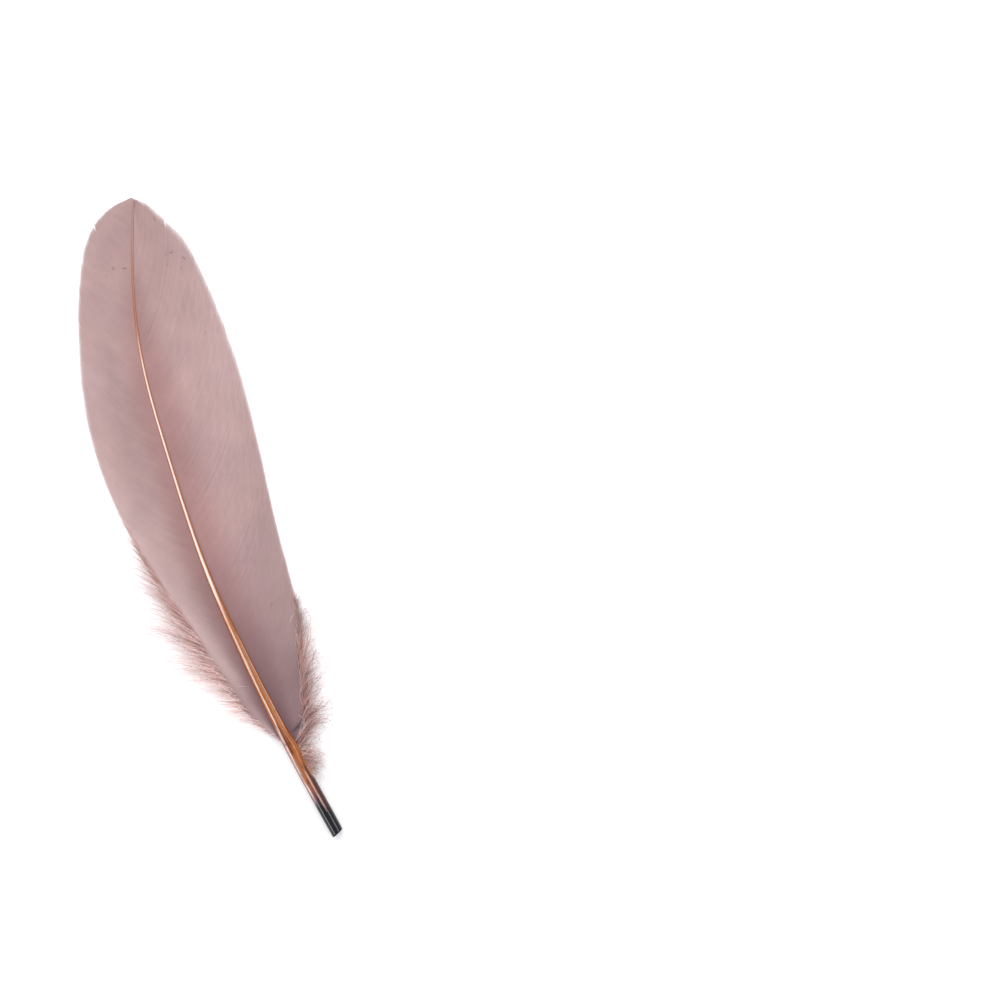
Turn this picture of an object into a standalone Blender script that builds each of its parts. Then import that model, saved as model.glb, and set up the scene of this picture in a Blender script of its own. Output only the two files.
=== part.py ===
"""A goose quill feather that lies on a flat surface with its outer face up.

Y runs along the feather from the cut end of the quill to the tip, X to the
right as seen from above, and Z up. The tables are in millimetres from the
quill's cut end and the surface that the feather lies on. An empty then carries
every piece to the middle of the feather's own box.
"""

import math
from bisect import bisect_right

import bmesh
import bpy
from mathutils import Matrix, Vector

MM = 0.001

# The shaft, at distances along the feather.
SHAFT_LENGTH = 167.6
SHAFT_SIDE = ((0, 0.8), (25, -4.0), (50, -7.9), (75, -10.5), (105, -10.8), (130, -9.7), (150, -5.8), (170, 0.6))
SHAFT_HEIGHT = ((0, 1.65), (14, 1.65), (45, 3.1), (75, 4.5), (100, 4.7), (130, 3.6), (155, 1.9), (170, 0.7))
SHAFT_WIDTH = ((0, 3.3), (18, 3.3), (30, 2.95), (45, 2.45), (60, 1.9), (80, 1.35), (110, 1.0), (150, 0.8), (170, 0.4))
SHAFT_DEPTH = ((0, 3.3), (18, 3.3), (30, 3.1), (45, 2.8), (60, 2.3), (80, 1.8), (110, 1.35), (150, 0.9), (170, 0.45))
SHAFT_RINGS = 38
SHAFT_SIDES = 16
KNOB_AT = 24.0
KNOB_LENGTH = 2.6
KNOB_BULGE = 0.5
QUILL_WALL = 0.4
BORE_DEPTH = 24.0
BORE_RINGS = 6
CUT_SLANT = math.radians(15)

# The vanes: each margin runs from the lowest barb to the tip, and each root table
# says where on the shaft the barb starts that ends at a given distance along.
NARROW_MARGIN = (
    (-7.2, 28.0), (-9.6, 30.6), (-13.6, 38.6), (-17.1, 49.4), (-20.1, 61.0), (-24.0, 75.5), (-27.0, 90.0),
    (-28.7, 108.0), (-27.3, 125.0), (-23.7, 140.0), (-20.2, 151.0), (-16.0, 160.2), (-11.5, 166.0),
    (-6.0, 169.2), (-0.2, 170.0),
)
NARROW_ROOT = ((28, 26.8), (50, 38), (75, 54), (108, 84), (140, 118), (160, 143), (170, 166))
WIDE_MARGIN = (
    (-0.8, 25.2), (2.2, 27.4), (3.4, 32.5), (5.2, 42.0), (8.3, 54.0), (9.1, 65.0), (9.9, 80.0), (11.7, 100.0),
    (12.9, 120.0), (12.1, 140.0), (10.0, 154.5), (6.6, 162.0), (3.2, 167.6), (0.5, 169.9),
)
WIDE_ROOT = ((25.2, 24.8), (42, 33), (65, 43.5), (100, 70), (140, 108.6), (162, 133), (168, 148), (170, 166))
VANE_THICK = 0.4
VANE_GAP = 0.3
VANE_SEAT = 0.05
VANE_FLAT_FROM = 0.87
VANE_ARCH = 1.7
BARB_BOW = 0.07
BARB_ROWS = 34
BARB_STEPS = 8

# The down: the edge beside the vane and the line of the tips, from the quill end up.
NARROW_DOWN_INNER = (
    (-7.0, 26.9), (-10.0, 30.4), (-14.1, 38.6), (-17.6, 49.4), (-20.6, 61.0), (-24.5, 75.5), (-27.5, 90.0),
)
NARROW_DOWN_TIPS = (
    (-7.7, 26.9), (-13.6, 34.5), (-20.4, 44.6), (-25.4, 51.0), (-27.0, 56.0), (-26.2, 66.0), (-27.8, 78.0),
    (-28.5, 92.0),
)
WIDE_DOWN_INNER = (
    (0.3, 13.0), (-0.9, 19.5), (-1.3, 23.2), (0.0, 24.9), (2.8, 27.2), (4.0, 32.5), (5.8, 42.0), (8.9, 54.0),
    (9.6, 65.0), (10.1, 74.0),
)
WIDE_DOWN_TIPS = (
    (2.6, 9.0), (6.8, 13.0), (10.4, 18.0), (13.0, 25.0), (14.6, 35.0), (15.6, 46.0), (15.0, 58.0), (13.0, 68.0),
    (11.2, 78.0),
)
DOWN_THICK_INNER = 1.6
DOWN_THICK_TIPS = 0.4
DOWN_ROWS = 22
DOWN_STEPS = 3

AMBER_HORN = (0.45, 0.19, 0.09)
DYED_WEB = (0.45, 0.29, 0.28)
PALE_DOWN = (0.68, 0.47, 0.45)


def smooth(knots, values, at):
    """The value at `at` of a smooth curve that passes through `values` at `knots`."""
    last = len(knots) - 1
    start = min(max(bisect_right(knots, at) - 1, 0), last - 1)

    def slope(k):
        low, high = max(k - 1, 0), min(k + 1, last)
        return (values[high] - values[low]) / (knots[high] - knots[low])

    span = knots[start + 1] - knots[start]
    s = (at - knots[start]) / span
    value = values[start] * (1 + 2 * s) * (1 - s) ** 2
    value += slope(start) * (span * s * (1 - s) ** 2)
    value += values[start + 1] * (s * s * (3 - 2 * s))
    value += slope(start + 1) * (span * s * s * (s - 1))
    return value


def read(table, y):
    """A size from one of the tables, at distance y along the feather."""
    knots = [row[0] for row in table]
    return smooth(knots, [row[1] for row in table], y)


def outline(points, part):
    """The point at `part` (0 to 1) of the way along an outline."""
    corners = [Vector(point) for point in points]
    knots = [0.0]
    for before, after in zip(corners, corners[1:]):
        knots.append(knots[-1] + (after - before).length)
    return smooth(knots, corners, part * knots[-1])


def knob(y):
    """How far the knob below the vanes stands out of the shaft's right side."""
    return KNOB_BULGE * math.exp(-(((y - KNOB_AT) / KNOB_LENGTH) ** 2))


def shaft_ring(y, inset=0.0, slant=0.0):
    """The matrix that puts a unit circle round the shaft at y, `inset` inside its surface."""
    lean = math.atan2(read(SHAFT_SIDE, y + 1) - read(SHAFT_SIDE, y - 1), 2)
    half_width = read(SHAFT_WIDTH, y) / 2 + knob(y) / 2 - inset
    half_depth = read(SHAFT_DEPTH, y) / 2 - inset
    height = max(read(SHAFT_HEIGHT, y), read(SHAFT_DEPTH, y) / 2)
    centre = Vector((read(SHAFT_SIDE, y) + knob(y) / 2, y, height))
    turn = Matrix.Rotation(slant - lean, 4, "Z") @ Matrix.Rotation(math.pi / 2, 4, "X")
    size = Matrix.Diagonal((half_width, half_depth, 1.0, 1.0))
    return Matrix.Translation(centre) @ turn @ size


def finish(bm, name, colour, roughness):
    """Make a bmesh in millimetres into a named object in metres."""
    bmesh.ops.scale(bm, vec=(MM, MM, MM), verts=bm.verts)
    bmesh.ops.recalc_face_normals(bm, faces=bm.faces)
    mesh = bpy.data.meshes.new(name)
    bm.to_mesh(mesh)
    bm.free()
    mesh.shade_smooth()
    mesh.set_sharp_from_angle(angle=math.radians(40))
    material = bpy.data.materials.new(name)
    material.use_nodes = True
    shader = material.node_tree.nodes["Principled BSDF"]
    shader.inputs["Base Color"].default_value = (*colour, 1.0)
    shader.inputs["Roughness"].default_value = roughness
    mesh.materials.append(material)
    piece = bpy.data.objects.new(name, mesh)
    bpy.context.scene.collection.objects.link(piece)
    return piece


def make_shaft():
    """The quill and shaft as one lofted skin: outside from the tip down, then up the bore."""
    rings = []
    for i in range(SHAFT_RINGS):
        rings.append(shaft_ring(SHAFT_LENGTH * (1 - i / (SHAFT_RINGS - 1))))
    rings[-1] = shaft_ring(0.0, slant=CUT_SLANT)
    rings.append(shaft_ring(0.0, inset=QUILL_WALL, slant=CUT_SLANT))
    for i in range(1, BORE_RINGS):
        rings.append(shaft_ring(BORE_DEPTH * i / (BORE_RINGS - 1), inset=QUILL_WALL))
    bm = bmesh.new()
    loops = []
    for matrix in rings:
        ring = bmesh.ops.create_circle(bm, segments=SHAFT_SIDES, radius=1.0, matrix=matrix)
        loops.append(list({edge for vert in ring["verts"] for edge in vert.link_edges}))
    for before, after in zip(loops, loops[1:]):
        bmesh.ops.bridge_loops(bm, edges=before + after)
    bmesh.ops.contextual_create(bm, geom=loops[0])
    bmesh.ops.contextual_create(bm, geom=loops[-1])
    return finish(bm, "quill_shaft", AMBER_HORN, 0.3)


def barb_point(margin, root_table, side, along, out):
    """A point on a vane's under side, `out` (0 to 1) of the way along one barb."""
    tip = outline(margin, along)
    root_y = read(root_table, tip.y)
    half_width = read(SHAFT_WIDTH, root_y) / 2
    if side > 0:
        half_width += knob(root_y)
    root = Vector((read(SHAFT_SIDE, root_y) + side * (half_width + VANE_GAP), root_y))
    reach = tip - root
    bow = Vector((reach.y, -reach.x)) * (side * BARB_BOW * 4 * out * (1 - out))
    place = root + reach * out + bow
    seat = read(SHAFT_HEIGHT, root_y) + VANE_SEAT * read(SHAFT_DEPTH, root_y)
    fall = min(out / VANE_FLAT_FROM, 1.0) ** VANE_ARCH
    return Vector((place.x, place.y, seat * (1 - fall)))


def make_sheet(name, steps, rows, place, thickness, colour, roughness):
    """A closed sheet: `place` gives its under side and `thickness` its depth at (out, along)."""
    bm = bmesh.new()
    bmesh.ops.create_grid(bm, x_segments=steps, y_segments=rows, size=0.5)
    spots = {vert: (vert.co.x + 0.5, vert.co.y + 0.5) for vert in bm.verts}
    under = list(bm.verts)
    bmesh.ops.extrude_face_region(bm, geom=bm.faces[:])
    upper = [vert for vert in bm.verts if vert not in spots]
    for vert in upper:
        spots[vert] = (vert.co.x + 0.5, vert.co.y + 0.5)
    for vert in under:
        vert.co = place(*spots[vert])
    for vert in upper:
        vert.co = place(*spots[vert]) + Vector((0.0, 0.0, thickness(*spots[vert])))
    return finish(bm, name, colour, roughness)


def make_vane(name, margin, root_table, side):
    """The web of barbs on one side: side is -1 for left and 1 for right."""
    return make_sheet(
        name,
        BARB_STEPS,
        BARB_ROWS,
        lambda out, along: barb_point(margin, root_table, side, along, out),
        lambda out, along: VANE_THICK,
        DYED_WEB,
        0.8,
    )


def make_down(name, inner, tips):
    """The downy fringe on one side, a thin wedge that reaches its hairs' tips."""

    def place(out, along):
        spot = outline(inner, along).lerp(outline(tips, along), out)
        return Vector((spot.x, spot.y, 0.0))

    def thickness(out, along):
        return DOWN_THICK_INNER + (DOWN_THICK_TIPS - DOWN_THICK_INNER) * out

    return make_sheet(name, DOWN_STEPS, DOWN_ROWS, place, thickness, PALE_DOWN, 0.9)


def centre_on_surface(pieces):
    """Hang the pieces on an empty that puts the middle of their box's base at the origin."""
    corners = [vert.co for piece in pieces for vert in piece.data.vertices]
    low = Vector(min(corner[axis] for corner in corners) for axis in range(3))
    high = Vector(max(corner[axis] for corner in corners) for axis in range(3))
    carrier = bpy.data.objects.new("feather", None)
    bpy.context.scene.collection.objects.link(carrier)
    carrier.location = (-(low.x + high.x) / 2, -(low.y + high.y) / 2, -low.z)
    for piece in pieces:
        piece.parent = carrier


def main():
    for old in list(bpy.data.objects):
        bpy.data.objects.remove(old)
    centre_on_surface(
        [
            make_shaft(),
            make_vane("narrow_vane", NARROW_MARGIN, NARROW_ROOT, -1),
            make_vane("wide_vane", WIDE_MARGIN, WIDE_ROOT, 1),
            make_down("narrow_side_down", NARROW_DOWN_INNER, NARROW_DOWN_TIPS),
            make_down("wide_side_down", WIDE_DOWN_INNER, WIDE_DOWN_TIPS),
        ]
    )


main()
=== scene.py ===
"""A dyed goose quill feather: a hollow horn quill, two webs of barbs and loose down.

Y runs along the feather from the quill's cut end to the tip, X to the right as
seen from above and Z up. The tables are in millimetres from the quill's cut end,
as the construction has them, and `placed` moves points from them to the frame.
"""

import math

import bmesh
import bpy
import numpy as np
from mathutils import Matrix, Vector


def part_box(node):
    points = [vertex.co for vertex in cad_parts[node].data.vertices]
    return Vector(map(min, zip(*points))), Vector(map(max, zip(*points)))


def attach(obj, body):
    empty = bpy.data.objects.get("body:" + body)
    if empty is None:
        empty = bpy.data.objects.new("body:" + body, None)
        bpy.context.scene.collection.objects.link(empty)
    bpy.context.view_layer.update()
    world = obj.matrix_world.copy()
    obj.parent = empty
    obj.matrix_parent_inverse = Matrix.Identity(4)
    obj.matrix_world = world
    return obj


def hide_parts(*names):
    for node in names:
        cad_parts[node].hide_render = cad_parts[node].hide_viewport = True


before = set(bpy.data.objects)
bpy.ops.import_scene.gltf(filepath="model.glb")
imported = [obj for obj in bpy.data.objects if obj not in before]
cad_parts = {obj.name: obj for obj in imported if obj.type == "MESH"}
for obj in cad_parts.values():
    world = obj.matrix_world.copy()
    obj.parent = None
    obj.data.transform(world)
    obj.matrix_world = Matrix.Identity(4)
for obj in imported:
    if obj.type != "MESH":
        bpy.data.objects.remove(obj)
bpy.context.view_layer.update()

bl_info = {
    "name": "Goose Quill Feather",
    "version": (1, 0, 0),
    "blender": (4, 5, 0),
    "location": "3D View > Sidebar > Feather",
    "description": "Builds a dyed goose feather barb by barb, with its quill, down and studio stage",
    "category": "Add Mesh",
}

MM = 0.001
UP = np.array([0.0, 0.0, 1.0])
# Seeds of the left side's random numbers; the right side has the next ones.
WEB_SEED = 11
DOWN_SEED = 31
# The middle of the view, in the tables' millimetres.
VIEW_AIM = (65.9, 68.1, 0.0)

# The shaft: sideways place, height, width and depth against the distance along.
SHAFT_END = 169.5
SHAFT_SIDE = (
    (0, 0.8), (25, -4.0), (50, -7.9), (75, -10.5), (105, -10.8), (130, -9.7), (150, -5.8), (170, 0.6),
)
SHAFT_HEIGHT = (
    (0, 1.65), (14, 1.65), (45, 3.1), (75, 4.5), (100, 4.7), (130, 3.6), (155, 1.7), (170, 0.3),
)
SHAFT_WIDTH = (
    (0, 3.3), (18, 3.3), (30, 2.95), (45, 2.45), (60, 1.9), (80, 1.35), (110, 1.0), (150, 0.8), (170, 0.55),
)
SHAFT_DEPTH = (
    (0, 3.3), (18, 3.3), (30, 3.1), (45, 2.8), (60, 2.3), (80, 1.8), (110, 1.35), (150, 0.95), (170, 0.65),
)
# The last stretch narrows to a rounded point, which stays a little open for its cap.
TIP_TAPER = 1.0
TIP_OPEN = 0.02
QUILL_RADIUS = 1.65
KNOB_AT = 24.0
KNOB_LENGTH = 2.6
KNOB_BULGE = 0.5
QUILL_WALL = 0.4
BORE_DEPTH = 24.0
CUT_SLANT = math.radians(15)
CUT_LIP = 0.25
# The groove underneath: its place and half its width in turns round the shaft, its depth
# as a part of half the shaft's, where it begins, and how far on it is that deep.
UNDERNEATH = 0.75
GROOVE_WIDTH = 0.07
GROOVE_DEPTH = 0.3
GROOVE_FROM = 26.0
GROOVE_RUN_IN = 14.0

# Each web: its margin from the lowest barb to the tip, where on the shaft the barb
# starts whose tip is at a given distance along, and the places where neighbouring
# barbs have come unhooked: the place along the margin and the stretch of the barb
# that is open, both from 0 to 1, the gap, and how dark the barbs beside it are painted,
# a painted shade inside the slit. Then how much the outer web is painted paler against
# the distance along, a painted light through its thin outer barbs that also lifts the
# shade of the slope down to the margin, and how far out from the shaft that begins and
# is complete. Each of the clouds is a place along, a part of the way out and how much
# lighter it is.
NARROW = {
    "node": "narrow_vane",
    "side": -1,
    "margin": (
        (-6.9, 28.1), (-9.1, 30.8), (-13.4, 38.7), (-17.1, 49.4), (-20.1, 61.0), (-24.0, 75.5),
        (-27.0, 90.0), (-28.7, 108.0), (-27.3, 125.0), (-23.7, 140.0), (-20.2, 151.0), (-16.0, 160.2),
        (-11.5, 166.0), (-6.0, 169.2), (-0.2, 170.1),
    ),
    "root": ((28, 26.8), (50, 38), (75, 54), (108, 84), (140, 118), (160, 143), (168, 157), (170.1, 168.9)),
    "pale": (
        (28, 0.8), (34, 0.55), (40, 0.3), (46, 0.22), (54, 0.36), (65, 0.5), (76, 0.68), (85, 0.72),
        (108, 0.33), (125, 0.2), (170, 0.1),
    ),
    "edge_light_from": 0.0,
    "edge_light_full": ((28, 0.42), (50, 0.45), (64, 0.5), (75, 0.75), (88, 1.05), (170, 0.95)),
    "clouds": (
        (110, 0.36, -15), (128, 0.36, -12), (128, 0.05, 9), (110, 0.05, 6), (82, 0.5, -5), (152, 0.6, -4),
        (163, 0.5, -4), (46, 0.2, 4),
    ),
    "splits": (
        (0.925, 0.93, 1.0, 0.6, 0), (0.765, 0.95, 1.0, 0.35, 0), (0.81, 0.97, 1.0, 0.3, 0),
        (0.865, 0.96, 1.0, 0.4, 0), (0.6, 0.3, 0.75, 0.06, 0),
    ),
}
WIDE = {
    "node": "wide_vane",
    "side": 1,
    "margin": (
        (-0.8, 25.2), (2.2, 27.4), (3.4, 32.5), (5.2, 42.0), (8.3, 54.0), (9.1, 65.0), (9.9, 80.0),
        (11.7, 100.0), (12.9, 120.0), (12.1, 140.0), (10.0, 154.5), (6.6, 162.0), (3.2, 167.6),
        (0.0, 170.05),
    ),
    "root": (
        (25.2, 24.8), (42, 33), (65, 43.5), (100, 70), (140, 108.6), (162, 133), (168, 148), (170.05, 168.9),
    ),
    "pale": ((25, 0.1), (60, 0.15), (80, 0.2), (95, 0.1), (110, 0.2), (130, 0.25), (150, 0.15), (170, 0.0)),
    "edge_light_from": 0.2,
    "edge_light_full": ((25, 0.88), (170, 0.88)),
    "clouds": (
        (80, 0.1, 14), (62, 0.2, 6), (98, 0.5, 3), (50, 0.8, 8), (68, 0.85, -4), (162, 0.2, 8),
        (142, 0.05, -6), (118, 0.08, 6), (125, 0.5, 5),
    ),
    "splits": (
        (0.93, 0.94, 1.0, 0.5, 0), (0.054, 0.0, 1.0, 0.5, 72), (0.62, 0.25, 0.7, 0.08, 0),
        (0.8, 0.5, 0.85, 0.08, 0),
    ),
}
# Along the margin, from 0 to 1: how far a split pushes barbs aside, and how far the painted shade inside it
# reaches.
SPLIT_REACH = 0.012
SPLIT_SHADE = 0.0045
# Half the size of a cloud: along the feather in millimetres, and as a part of the way out.
CLOUD_ALONG = 13.0
CLOUD_OUT = 0.25
# The feather's tip, in the tables' millimetres: the far right corner of the narrow vane's box.
TIP = (-0.2, 170.0)
VANE_THICK = 0.4
VANE_SEAT = 0.05
VANE_ARCH = 2.2
VANE_SETTLE = 1.8
BARB_BOW = 0.07
BARB_SET_IN = 0.25
# How barbs differ: the scatter of their heights in millimetres and of their lengths as a
# part of them, a slow change of their lengths, and how far in millimetres their tips
# drift along the margin.
BARB_LIFT = 0.012
BARB_SHORT = 0.005
BARB_UNEVEN = 0.006
BARB_DRIFT = 0.12
# The part of the margin, from its lowest end, where barbs are ragged.
RAGGED = 0.07
# The least spacing that a barb's width follows, the least depth of its keel and the least
# height of its middle.
LEAST_SPACING = 0.12
LEAST_KEEL = 0.03
LEAST_HEIGHT = 0.1
# Slow waves of a web's surface: radians per millimetre across and along, phase and size.
WAVES = ((0.52, 0.21, 1.3, 1.0), (0.23, -0.37, 0.4, 0.8), (1.1, 0.83, 2.1, 0.5), (0.0, 0.11, 0.0, 0.4))

# The down: where its hairs leave the web and the quill; then, against the distance
# along, how far their tips lean outwards from +Y in degrees, how much that varies, how
# much of it they lean at their roots, their greatest length, how far inside the edge
# they may start, how much they wander and how light they are. Then two powers that
# crowd the locks along the edge, the power that makes short hairs more common than long
# ones, the number of locks, how many side hairs a hair has, their greatest length and
# their least and greatest angle to it, how far a lock's tips are drawn together, and
# how much more the longest hairs lean at their roots.
NARROW_DOWN = {
    "node": "narrow_side_down",
    "side": -1,
    "edge": (
        (-5.9, 27.6), (-9.2, 31.0), (-13.3, 39.2), (-16.8, 50.0), (-19.8, 61.5), (-23.7, 76.0),
        (-26.5, 89.0), (-27.9, 100.0),
    ),
    "lean": ((27, 78), (33, 88), (40, 82), (50, 72), (60, 62), (75, 46), (89, 32), (100, 20)),
    "scatter": ((27, 8), (89, 6)),
    "leaves": ((27, 0.75), (33, 0.62), (40, 0.48), (52, 0.5), (64, 0.44), (89, 0.5)),
    "length": (
        (27, 10.0), (33, 15.0), (40, 20.0), (50, 26.0), (60, 24.5), (70, 17.5), (86, 11.0), (100, 8.0),
    ),
    "inset": ((27, 1.4), (50, 1.7), (89, 0.9), (100, 0.5)),
    "wander": ((27, 0.3), (89, 0.25)),
    "shade": ((27, 1.9), (34, 1.5), (42, 0.8), (52, 0.25), (100, 0.25)),
    "crowding": (2.05, 4.4),
    "shortness": 1.05,
    "locks": 96,
    "barbules": 4,
    "barbule_length": 2.2,
    "barbule_spread": (5, 22),
    "pull": 0.2,
    "fan": 0.6,
}
WIDE_DOWN = {
    "node": "wide_side_down",
    "side": 1,
    "edge": (
        (-1.3, 17.0), (-1.8, 22.6), (-1.0, 25.6), (1.8, 27.6), (3.0, 32.5), (4.8, 42.0), (7.9, 54.0),
        (8.6, 62.5),
    ),
    "lean": ((17, 125), (24, 105), (28, 84), (33, 68), (45, 50), (52, 40), (62, 22)),
    "scatter": ((17, 40), (26, 26), (33, 18), (50, 14), (61, 8)),
    "leaves": ((17, 0.7), (33, 0.4), (61, 0.3)),
    "length": ((17, 11.0), (24, 14.0), (30, 18.0), (40, 22.0), (48, 18.0), (54, 9.5), (63, 3.5)),
    "inset": ((17, 0.2), (25, 1.6), (28, 2.0), (36, 1.5), (50, 0.9), (61, 0.4)),
    "wander": ((17, 2.2), (28, 1.4), (45, 1.0), (61, 0.6)),
    "shade": ((17, -1.2), (61, -1.2)),
    "crowding": (1.0, 1.55),
    "shortness": 1.5,
    "locks": 108,
    "barbules": 6,
    "barbule_length": 1.3,
    "barbule_spread": (12, 45),
    "pull": 0.55,
    "fan": 0.2,
}
# Points along a hair, hairs in a lock, the shortest hair as a part of the longest, and
# the width of a side hair as a part of its hair's.
HAIR_STEPS = 25
LOCK = 8
SHORTEST_HAIR = 0.22
SIDE_HAIR_WIDTH = 0.28
# The least height of a hair's middle, how far above a web's middle a stray hair and a
# fleck lie, and how thick a fleck is.
HAIR_FLOOR = 0.06
STRAY_LIFT = 0.12
FLECK_LIFT = 0.04
FLECK_THICK = 0.1

# Single hairs that lie across the webs and hang off the quill, and how pale they are.
STRAYS = (
    (((-20.2, 62.7), (-17.4, 55.0), (-14.1, 45.2)), 1.5),
    (((-14.8, 62.9), (-14.1, 61.9), (-13.2, 61.1)), 0.5),
    (((-12.0, 43.4), (-10.6, 42.9), (-9.0, 42.5)), 0.5),
    (((-0.9, 22.4), (3.4, 20.6), (5.4, 16.6), (3.4, 13.9)), -2.0),
    (((-1.4, 20.0), (1.4, 16.6), (1.9, 12.6), (3.9, 9.8)), -2.0),
    (((-0.8, 21.4), (2.6, 17.0), (6.1, 15.9), (7.5, 18.9)), -1.0),
    (((-0.6, 23.0), (4.0, 25.4), (8.2, 22.9), (8.6, 19.4)), -1.0),
)

# Small dark flecks of dust: place, length, width and direction in degrees from +X.
FLECKS = (
    (-5.5, 166.4, 1.3, 0.16, 85), (4.1, 163.1, 1.1, 0.15, 70), (4.0, 153.5, 0.7, 0.2, 20),
    (5.4, 153.6, 1.1, 0.14, 10), (8.1, 151.4, 1.2, 0.2, 120), (-9.7, 154.1, 1.1, 0.14, 110),
    (-7.0, 153.3, 0.9, 0.13, 150), (-11.9, 153.0, 0.5, 0.14, 0), (3.7, 150.9, 0.6, 0.16, 45),
    (2.5, 60.7, 0.8, 0.2, 130), (-5.8, 136.0, 0.6, 0.14, 30), (2.2, 119.6, 0.5, 0.2, 30),
    (-22.0, 90.5, 0.9, 0.13, 140), (7.5, 131.5, 0.5, 0.16, 0), (6.6, 149.0, 1.0, 0.13, 60),
)

# Streaks of the horn and painted highlights on it: the middle and half the width across
# the shaft (-1 left to 1 right), from and to along in millimetres, how strong, and the colour.
HORN_STREAKS_AND_HIGHLIGHTS = (
    # The next three are painted highlights, partly the pale pith along the top: a cream stripe down the top
    # that moves left lower down.
    (-0.05, 0.62, 62, 140, 1.0, "#F0CDBC"),
    (-0.14, 0.38, 58, 132, 0.9, "#FFF3EC"),
    (-0.26, 0.32, 42, 70, 0.8, "#EBCBBB"),
    # The next two are painted highlights: thin pale lines down the left and the right of the lower shaft.
    (-0.36, 0.19, 25, 52, 0.85, "#EFD6CB"),
    (0.66, 0.15, 27, 58, 0.6, "#E5BDA6"),
    (-0.78, 0.18, 8, 31, 0.8, "#B79C9F"),
    # Painted highlight: a thin white-pink line down the quill's left wall.
    (-0.62, 0.1, 9, 31, 0.9, "#EFE0DE"),
    (-0.24, 0.22, 21, 33, 0.9, "#5E3120"),
    (0.9, 0.2, 15, 27, 0.6, "#C58F4E"),
    (0.9, 0.42, 6, 17, 0.95, "#45221C"),
    (0.52, 0.26, 6, 21, 0.9, "#54291F"),
    (-0.42, 0.22, 16, 23, 0.7, "#99756B"),
    (0.3, 0.2, 24, 30, 0.5, "#8A4E2C"),
    # Painted highlight: a pale line just right of the middle, down into the dark end.
    (0.2, 0.13, 6, 20, 0.85, "#CDB0A6"),
    (-1.0, 0.14, 9, 90, 0.7, "#7E4A3C"),
    (1.0, 0.22, 20, 100, 0.7, "#6E3F30"),
)


def linear(code):
    """A colour as linear red, green and blue from its sRGB hex code."""
    parts = [int(code[i : i + 2], 16) / 255 for i in (1, 3, 5)]
    return tuple(c / 12.92 if c <= 0.04045 else ((c + 0.055) / 1.055) ** 2.4 for c in parts)


def smooth(knots, values, at):
    """Values at the numbers `at` of a smooth curve through `values` at `knots`."""
    knots = np.asarray(knots, float)
    values = np.asarray(values, float)
    at = np.asarray(at, float)
    last = len(knots) - 1
    low = np.maximum(np.arange(last + 1) - 1, 0)
    high = np.minimum(np.arange(last + 1) + 1, last)
    run = knots[high] - knots[low]
    slopes = (values[high] - values[low]) / (run[:, None] if values.ndim > 1 else run)
    start = np.clip(np.searchsorted(knots, at, side="right") - 1, 0, last - 1)
    span = knots[start + 1] - knots[start]
    s = (at - knots[start]) / span
    if values.ndim > 1:
        s, span = s[..., None], span[..., None]
    return (
        values[start] * (1 + 2 * s) * (1 - s) ** 2
        + slopes[start] * span * s * (1 - s) ** 2
        + values[start + 1] * s * s * (3 - 2 * s)
        + slopes[start + 1] * span * s * s * (s - 1)
    )


def read(table, y):
    """A size from one of the tables at the distances y along the feather."""
    rows = np.asarray(table, float)
    return smooth(rows[:, 0], rows[:, 1], y)


def outline(points, part):
    """Points at `part` (0 to 1) of the way along an outline."""
    corners = np.asarray(points, float)
    steps = np.linalg.norm(np.diff(corners, axis=0), axis=1)
    knots = np.concatenate([[0.0], np.cumsum(steps)])
    return smooth(knots, corners, np.asarray(part) * knots[-1])


def knob(y):
    """How far the knob below the webs stands out of the shaft's right side."""
    return KNOB_BULGE * np.exp(-(((y - KNOB_AT) / KNOB_LENGTH) ** 2))


def shaft_height(y):
    """Height of the shaft's middle, which lies on the surface where its own curve would dip below."""
    return np.maximum(read(SHAFT_HEIGHT, y), read(SHAFT_DEPTH, y) / 2)


def ramp(low, high, x):
    """0 below `low`, 1 above `high` and a smooth step between them."""
    s = np.clip((np.asarray(x, float) - low) / (high - low), 0.0, 1.0)
    return s * s * (3 - 2 * s)


def unit(vectors):
    """The vectors at length 1."""
    return vectors / np.maximum(np.linalg.norm(vectors, axis=-1, keepdims=True), 1e-9)


FRAME_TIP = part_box("narrow_vane")[1]
SHIFT = np.array([FRAME_TIP.x / MM - TIP[0], FRAME_TIP.y / MM - TIP[1], 0.0])


def placed(points):
    """Points from the tables' millimetres to the frame's metres."""
    return (np.asarray(points, float) + SHIFT) * MM


# ---------------------------------------------------------------- settings


def colour_setting(name, description, code):
    """A colour that a user may change, which starts as an sRGB hex code."""
    return bpy.props.FloatVectorProperty(
        name=name, description=description, subtype="COLOR", size=3, default=linear(code)
    )


class ShaftSettings(bpy.types.PropertyGroup):
    sides: bpy.props.IntProperty(
        name="Sides", description="Corners of each ring of the shaft", default=28, min=8
    )
    rings: bpy.props.IntProperty(name="Rings", description="Rings along the shaft", default=120, min=20)
    horn: colour_setting("Horn", "Dyed horn of the quill", "#AC6430")
    flank: colour_setting("Flank", "Sides of the shaft", "#B26E48")
    tip: colour_setting("Tip", "Shaft near the tip, dyed like the web", "#A88680")
    cut_end: colour_setting("Cut end", "Dark end of the quill", "#13111A")


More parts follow.
